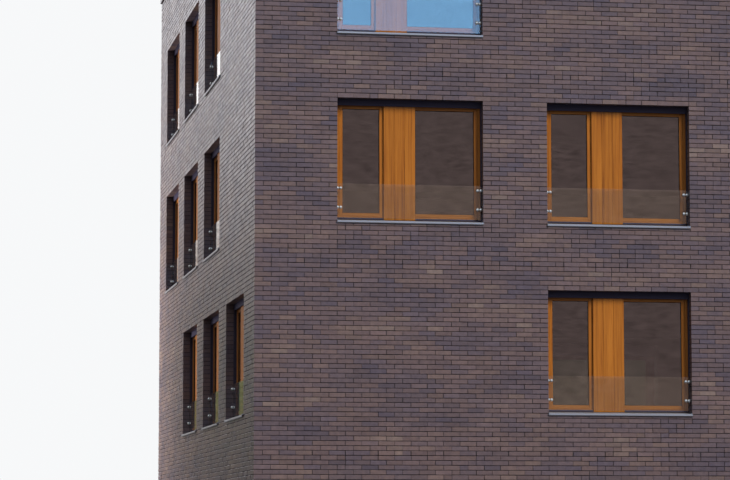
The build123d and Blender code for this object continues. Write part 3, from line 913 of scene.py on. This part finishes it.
# where the flat body and its foot end, their back and front, and half their height
BODY = (CLAMP_LENGTH, (-GLASS_DEPTH, -GLASS_DEPTH + 0.005), 0.012)
FOOT = (0.0145, (-LEAF, -GLASS_DEPTH), 0.020)
centres, axes, bodies = [], [], Pile()
for facade, storey, left, sill in windows:
    for rise in CLAMP_LEVELS:
        level = sill + GLASS_FOOT + rise
        for edge, sign in ((left, 1), (left + OPENING_WIDTH, -1)):
            for inset in BUTTON_INSETS:
                centres.append(on_facade(facade, edge + sign * inset, BUTTON_BASE - GLASS_DEPTH, level))
                axes.append((*FACADES[facade][2], 0))
            for end, depth, half in (BODY, FOOT):
                width = sorted((edge + sign * CLAMP_START, edge + sign * end))
                bodies.put(facade, width, depth, drawn_in((level, level), -half))
buttons = turned("clamp_buttons", centres, axes, BUTTON, "stainless")
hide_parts("balustrade_clamps")
bodies.make("clamp_bodies", "dark_metal", ease=0.002)

# %% [markdown]
# ## Entrance
# The door at the back is a solid leaf faced with upright boards, in a timber frame beside a glazed
# side light. Painted lines could stand for its joints, but they would vanish at an angle. So the boards
# are real, and the core behind them has a dark finish that paints the shade in their open joints, so
# they read as fine dark lines.

# %% Sizes of the entrance
FLOOR = 0.150
DOOR_WIDTH, DOOR_JAMB, DOOR_MULLION, DOOR_HEAD, DOOR_THICK = 1.060, 0.090, 0.090, 0.120, 0.068
DOOR_BOARDS, BOARD_THICK, HALF_JOINT, BOARD_FOOT, BOARD_HEAD = 8, 0.022, 0.0015, 0.004, 0.003
CORE_SIDE, CORE_FACE, CORE_ENDS = 0.003, 0.020, 0.002  # from the leaf's edges, and behind its face
DOOR_SEAL_WIDTH, DOOR_SEAL_SETBACK = 0.008, 0.010
LOCK_INSET, LOCK_HEIGHT = 0.060, 1.02
ROSE = [(-0.002, 0), (-0.002, 0.026), (0.006, 0.026), (0.008, 0.024), (0.008, 0.010), (0.012, 0.009),
        (0.012, 0)]

# %% Door frame, boards, seals and lock
((facade, storey, left, sill),) = openings("E")
frame_left, frame_right = left - FRAME_LAP, left + OPENING_WIDTH + FRAME_LAP
head = sill + OPENING_HEIGHT + FRAME_LAP
leaf_left, leaf_right = frame_left + DOOR_JAMB, frame_left + DOOR_JAMB + DOOR_WIDTH
light = (leaf_right + DOOR_MULLION, frame_right - DOOR_JAMB)
light_foot, light_head = FLOOR + DOOR_JAMB, head - DOOR_HEAD
members, door, core, door_seals = Pile(), Pile(), Pile(), Pile()
out = (-FRAME_FRONT - FRAME_DEPTH, -FRAME_FRONT)
for ends in ((frame_left, leaf_left), (leaf_right, light[0]), (light[1], frame_right)):
    members.put(facade, ends, out, (FLOOR, light_head))
members.put(facade, (frame_left, frame_right), out, (light_head, head), upright=False)
members.put(facade, light, out, (FLOOR, light_foot), upright=False)
face = -FRAME_FRONT - CASEMENT_SETBACK
levels = (FLOOR + BOARD_FOOT, light_head - BOARD_HEAD)
for edge in leaf_left + np.arange(DOOR_BOARDS) * DOOR_WIDTH / DOOR_BOARDS:
    width = drawn_in((edge, edge + DOOR_WIDTH / DOOR_BOARDS), HALF_JOINT)
    door.put(facade, width, (face - BOARD_THICK, face), levels)
width, height = drawn_in((leaf_left, leaf_right), CORE_SIDE), drawn_in((FLOOR, light_head), CORE_ENDS)
# the core's dark finish is painted shade in the open joints between the boards
core.put(facade, width, (face - DOOR_THICK, face - CORE_FACE), height)
depth = (face - PANE_SETBACK + SEAL_LIFT, face - DOOR_SEAL_SETBACK)
put_ring(door_seals, facade, light, depth, (light_foot, light_head), DOOR_SEAL_WIDTH)
entrance_members = members.make("entrance_members", "wood", ease=0.003, grain=True)
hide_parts("entrance_frame")
entrance_boards = door.make("entrance_boards", "panel", ease=0.002, grain=True)
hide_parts("entrance_door")
core.make("entrance_shade_core", "dark_metal", ease=0.002)
door_seals.make("entrance_seals", "rubber", ease=0.001)
lock = on_facade(facade, leaf_right - LOCK_INSET, face, FLOOR + LOCK_HEIGHT)
turned("lock_rose", [lock], [(*FACADES[facade][2], 0)], ROSE, "stainless", steps=32)

# %% [markdown]
# ## Floor
# The villa stands on a plain pale floor. A curved backdrop would hide its far edge, but a square of
# 800 metres does so too. If it were pale to the light as well, it would throw a glow up the walls.
# So it is pale to the camera alone, and nearly black to the light that goes on to them.

# %% A wide floor
TO_LIGHT, TO_CAMERA = 0.05, 0.46  # how bright the floor is to each
SPAN = 400.0  # half its side
floor_finish = Finish("floor", Roughness=0.8)
seen = floor_finish.add("LightPath").outputs["Is Camera Ray"]
floor_clouds = floor_finish.noise(floor_finish.place(), 0.2, 3.0)
floor_tone = floor_finish.ramp(floor_clouds, (0.3, 0.94), (0.7, 1.0))
floor_color = floor_finish.ramp(seen, (0.0, TO_LIGHT), (1.0, TO_CAMERA))
floor_finish.color(floor_finish.tinted(floor_tone, floor_color))
floor_mesh = bpy.data.meshes.new("floor")
floor_corners = [(-SPAN, -SPAN, 0), (SPAN, -SPAN, 0), (SPAN, SPAN, 0), (-SPAN, SPAN, 0)]
floor_mesh.from_pydata(floor_corners, [], [(0, 1, 2, 3)])
floor_mesh.materials.append(floor_finish.material)
floor = in_scene("floor", floor_mesh)

# %% [markdown]
# ## Light
# The sky is soft and bright, and strongest overhead, so that sills and shutter boxes throw a short
# soft shadow. A picture of a sky would bring its own place with it, so this one is mixed from
# colour ramps over the height. The eye sees it as plain white, but glass and brick mirror a darker,
# uneven rim, because mirrors need something to show. Two wide suns give the walls a direction. The
# left wall grows brighter towards its far end, which no sun can do, so a lamp with a narrowed
# spread stands near that end. No mirror shows the lamps.

# %% The sky, as the walls, the glass and the camera see it
world = bpy.data.worlds.new("studio")
bpy.context.scene.world = world
world.use_nodes = True
sky = Wiring(world.node_tree)
sky.nodes.clear()
DOME, MIRRORED = 1.35, 2.2  # how strong the sky is to the walls, and to the glass
where = sky.add("TexCoord").outputs["Generated"]
x, y, z = sky.parts(where)
dome = sky.ramp(
    z,
    (0.0, (0.10, 0.10, 0.10)),
    (0.25, (0.34, 0.35, 0.37)),
    (0.60, (0.80, 0.83, 0.90)),
    (1.0, (0.97, 1.0, 1.0)),
)
before = sky.ramp(  # what the front panes mirror: a brown rim, then blue, then grey
    z,
    (0.0, (0.17, 0.12, 0.115)),
    (0.156, (0.18, 0.13, 0.125)),
    (0.169, (0.31, 0.66, 1.22)),
    (0.215, (0.33, 0.66, 1.20)),
    (0.30, (0.34, 0.40, 0.47)),
)
behind = sky.ramp(  # what the left panes mirror: a dark rim, then a pale band, then grey
    z,
    (0.0, (0.048, 0.034, 0.032)),
    (0.05, (0.048, 0.062, 0.036)),
    (0.068, (0.056, 0.072, 0.042)),
    (0.088, (0.160, 0.145, 0.140)),
    (0.13, (0.50, 0.49, 0.50)),
    (0.18, (0.79, 0.78, 0.82)),
    (0.27, (0.77, 0.77, 0.81)),
    (0.38, (0.40, 0.41, 0.43)),
)
side = sky.between(y, 0.0, 1.0, start=-0.1, end=0.1)
mirrored = sky.mixed(side, before, behind)
uneven = sky.ramp(sky.noise(where, 1.0, 2.0, (260, 260, 1400)), (0.30, 0.66), (0.70, 1.34))
mirrored = sky.tinted(mirrored, uneven, sky.ramp(z, (0.145, 1.0), (0.165, 0.0)))
shaded_side = sky.ramp(sky.between(x, 0.0, 1.0, start=-1.0), (0.15, 0.32), (0.60, 1.0))

# %% Each kind of ray takes its own sky
rays = sky.add("LightPath").outputs
to_walls, to_glass, to_eye = (
    sky.add("Background", {"Color": color, "Strength": strength}).outputs["Background"]
    for color, strength in (
        (sky.tinted(dome, shaded_side), DOME), (mirrored, MIRRORED), ((0.93, 0.94, 0.95, 1), 1.0)
    )
)
both = sky.either(rays["Is Glossy Ray"], to_walls, to_glass)
every = sky.either(rays["Is Camera Ray"], both, to_eye)
sky.links.new(every, sky.add("OutputWorld").inputs["Surface"])


# %% Two soft suns, and a lamp near the far end of the left wall
def hang_lamp(name, kind, back, energy, color, **settings):
    """Adds a lamp that shines away from the direction back, and that no mirror shows."""
    data = bpy.data.lights.new(name, kind)
    data.energy, data.color = energy, color
    for key, value in settings.items():
        setattr(data, key, value)
    lamp = in_scene(name, data)
    lamp.rotation_euler = Vector(back).to_track_quat("Z", "Y").to_euler()
    lamp.visible_glossy = lamp.visible_transmission = False
    print(name, energy)
    return lamp


hang_lamp("front_sun", "SUN", (0.40, -0.62, 0.68), 3.35, (1.0, 0.97, 0.94), angle=math.radians(20))
hang_lamp("back_sun", "SUN", (-0.22, 0.76, 0.61), 1.9, (1.0, 0.96, 0.94), angle=math.radians(40))
left_panel = hang_lamp("left_panel", "AREA", (-4.9, 6.5, 1.0), 1150, (1.0, 0.97, 0.96),
                       shape="DISK", size=3.0, spread=math.radians(125))
left_panel.location = (-12.5, 12.5, 5.5)

# %% [markdown]
# ## Camera
# The picture is taken from 1.6 m above the floor and far away, looking a little up at the corner.
# A wide lens close by would see the same walls, but their upright lines would run together, and the
# lens would have to be shifted to mend that. A long lens keeps them almost parallel by itself.

# %% A long lens, low and far away
LOOKING_UP, TURNED_RIGHT = 5.898, 9.647  # in degrees
lens = bpy.data.cameras.new("camera")
lens.sensor_width, lens.lens, lens.clip_end = 36.0, 143.4, 2000
camera = in_scene("camera", lens)
camera.location = (-13.406, -52.295, 1.614)
camera.rotation_euler = (math.radians(90 + LOOKING_UP), 0, math.radians(-TURNED_RIGHT))
bpy.context.scene.camera = camera
bpy.context.scene.view_settings.view_transform = "Standard"
